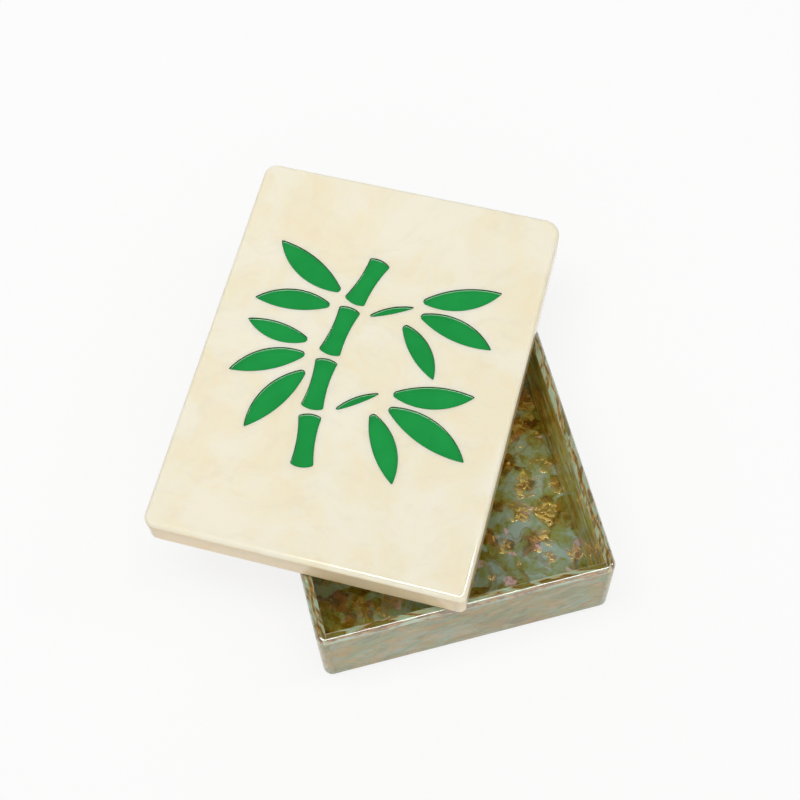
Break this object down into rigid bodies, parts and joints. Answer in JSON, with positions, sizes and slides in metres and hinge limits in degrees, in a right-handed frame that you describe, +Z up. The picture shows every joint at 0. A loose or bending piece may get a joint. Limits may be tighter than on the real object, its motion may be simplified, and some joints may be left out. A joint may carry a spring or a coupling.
{
  "type": "trinket box",
  "caption": "Low rectangular acrylic tray with a loose slip-over lid that lies askew on its walls; the cream lid has a green bamboo inlay.",
  "frame": {"origin": "centre of the tray's underside, on the surface it stands on", "axes": "+Z up, -Y the tray's front end, X across its short sides"},
  "size_m": [0.1511, 0.1648, 0.0464],
  "materials": {
    "tray_acrylic": "polished, patterned jade and gold flakes",
    "lid_acrylic": "polished, pearly cream swirl",
    "inlay_acrylic": "polished green"
  },
  "bodies": {
    "base": {"base_floor": "tray_acrylic", "base_wall_left": "tray_acrylic", "base_wall_right": "tray_acrylic", "base_wall_front": "tray_acrylic", "base_wall_back": "tray_acrylic"},
    "lid": {"lid_top_panel": "lid_acrylic", "lid_rim_left": "lid_acrylic", "lid_rim_right": "lid_acrylic", "lid_rim_front": "lid_acrylic", "lid_rim_back": "lid_acrylic", "cane_1": "inlay_acrylic", "cane_2": "inlay_acrylic", "cane_3": "inlay_acrylic", "cane_4": "inlay_acrylic", "leaf_1": "inlay_acrylic", "leaf_2": "inlay_acrylic", "leaf_3": "inlay_acrylic", "leaf_4": "inlay_acrylic", "leaf_5": "inlay_acrylic", "leaf_6": "inlay_acrylic", "leaf_7": "inlay_acrylic", "leaf_8": "inlay_acrylic", "leaf_9": "inlay_acrylic", "leaf_10": "inlay_acrylic", "leaf_11": "inlay_acrylic", "twig_1": "inlay_acrylic", "twig_2": "inlay_acrylic"}
  },
  "joints": [
    {"name": "lid_lift", "type": "slide", "parent": "base", "child": "lid", "axis": [0, 0, 1], "range_m": [0, 0.1]}
  ]
}
